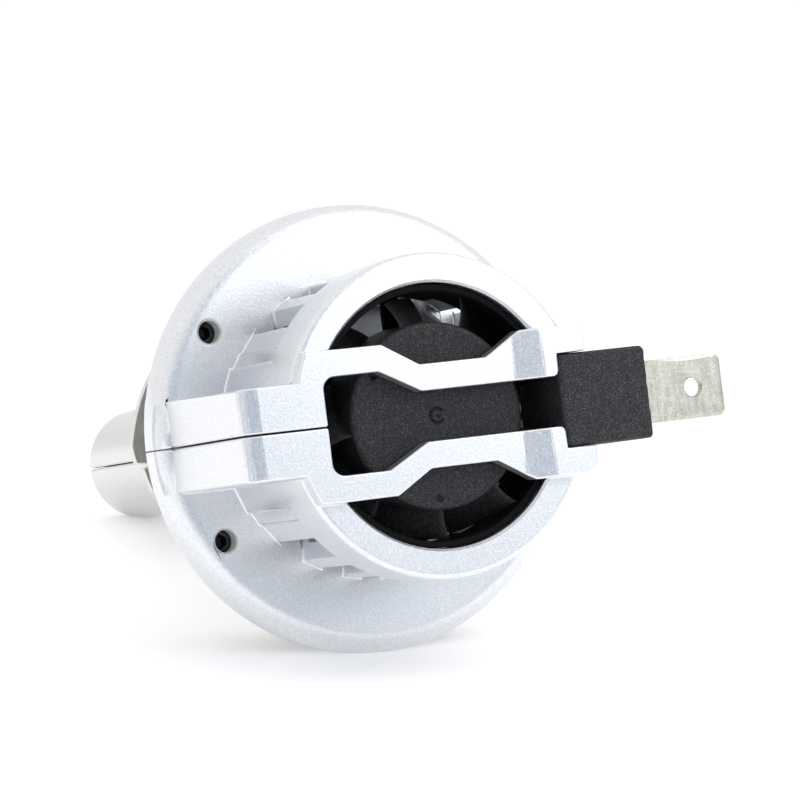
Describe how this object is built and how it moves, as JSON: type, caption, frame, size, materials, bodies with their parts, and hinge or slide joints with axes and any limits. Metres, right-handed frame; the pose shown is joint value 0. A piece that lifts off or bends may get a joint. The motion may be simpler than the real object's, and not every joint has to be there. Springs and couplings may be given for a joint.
{
  "type": "headlight bulb",
  "caption": "Fan-cooled LED headlight bulb: split silver body with round flange, two-arm bracket gripping a black block with a side spade blade, slim LED stem and turning collar.",
  "frame": {"origin": "on the bulb's axis, in the plane of the collar face that rests on the lamp's seat", "axes": "+Y along the bulb's axis into the lamp, towards the stem's tip; +X along the spade blade, away from the axis; +Z square to both, from the lower housing half to the upper"},
  "size_m": [0.0554, 0.0847, 0.0454],
  "materials": {
    "cast_body": "fine sandblasted silver lacquer over a die casting",
    "stem_metal": "smooth bright-machined aluminium",
    "collar_steel": "stamped and zinc-plated sheet steel",
    "seal_rubber": "soft black rubber",
    "core_copper": null,
    "phosphor": "yellow phosphor chips on a white strip",
    "board_green": "circuit board with solder mask",
    "parts_black": "moulded electronic parts",
    "frame_black": "black moulded fan frame",
    "rotor_black": "black glass-filled nylon with a fine grain",
    "magnet_grey": "ferrite magnet ring",
    "shaft_steel": "ground steel",
    "bearing_bronze": "sintered bronze sleeve",
    "stator_steel": "stacked silicon steel",
    "coil_wire": null,
    "block_black": "black moulded terminal block with a fine grain",
    "blade_tin": "tin-plated brass blade",
    "lead_black": "insulated wire",
    "grub_black": "black oxide steel",
    "screw_steel": "nickel-plated steel"
  },
  "bodies": {
    "collar": {"mounting_collar": "collar_steel"},
    "bulb": {"boss_seal_ring": "seal_rubber", "upper_housing": "cast_body", "lower_housing": "cast_body", "stem_upper": "stem_metal", "stem_lower": "stem_metal", "led_core": "core_copper", "leds_upper": "phosphor", "leds_lower": "phosphor", "driver_board": "board_green", "driver_parts": "parts_black", "fan_frame": "frame_black", "fan_bearing": "bearing_bronze", "fan_stator": "stator_steel", "fan_coils": "coil_wire", "fan_board": "board_green", "terminal_block": "block_black", "spade_blade": "blade_tin", "inner_leads": "lead_black", "case_screws": "screw_steel", "stem_screws": "screw_steel"},
    "rotor": {"fan_rotor": "rotor_black", "fan_magnet": "magnet_grey", "fan_shaft": "shaft_steel"},
    "grub_upper": {"grub_screw_upper": "grub_black"},
    "grub_lower": {"grub_screw_lower": "grub_black"}
  },
  "joints": [
    {"name": "collar_turn", "type": "hinge", "parent": "collar", "child": "bulb", "pos_m": [0, 0, 0], "axis": [0, 1, 0], "range_deg": [-90, 90]},
    {"name": "fan_spin", "type": "hinge", "parent": "bulb", "child": "rotor", "pos_m": [0, -0.023, 0], "axis": [0, 1, 0], "continuous": true},
    {"name": "grub_upper_travel", "type": "slide", "parent": "bulb", "child": "grub_upper", "axis": [0, 1, 0], "range_m": [-0.002, 0]},
    {"name": "grub_lower_travel", "type": "slide", "parent": "bulb", "child": "grub_lower", "axis": [0, 1, 0], "range_m": [-0.002, 0]}
  ]
}
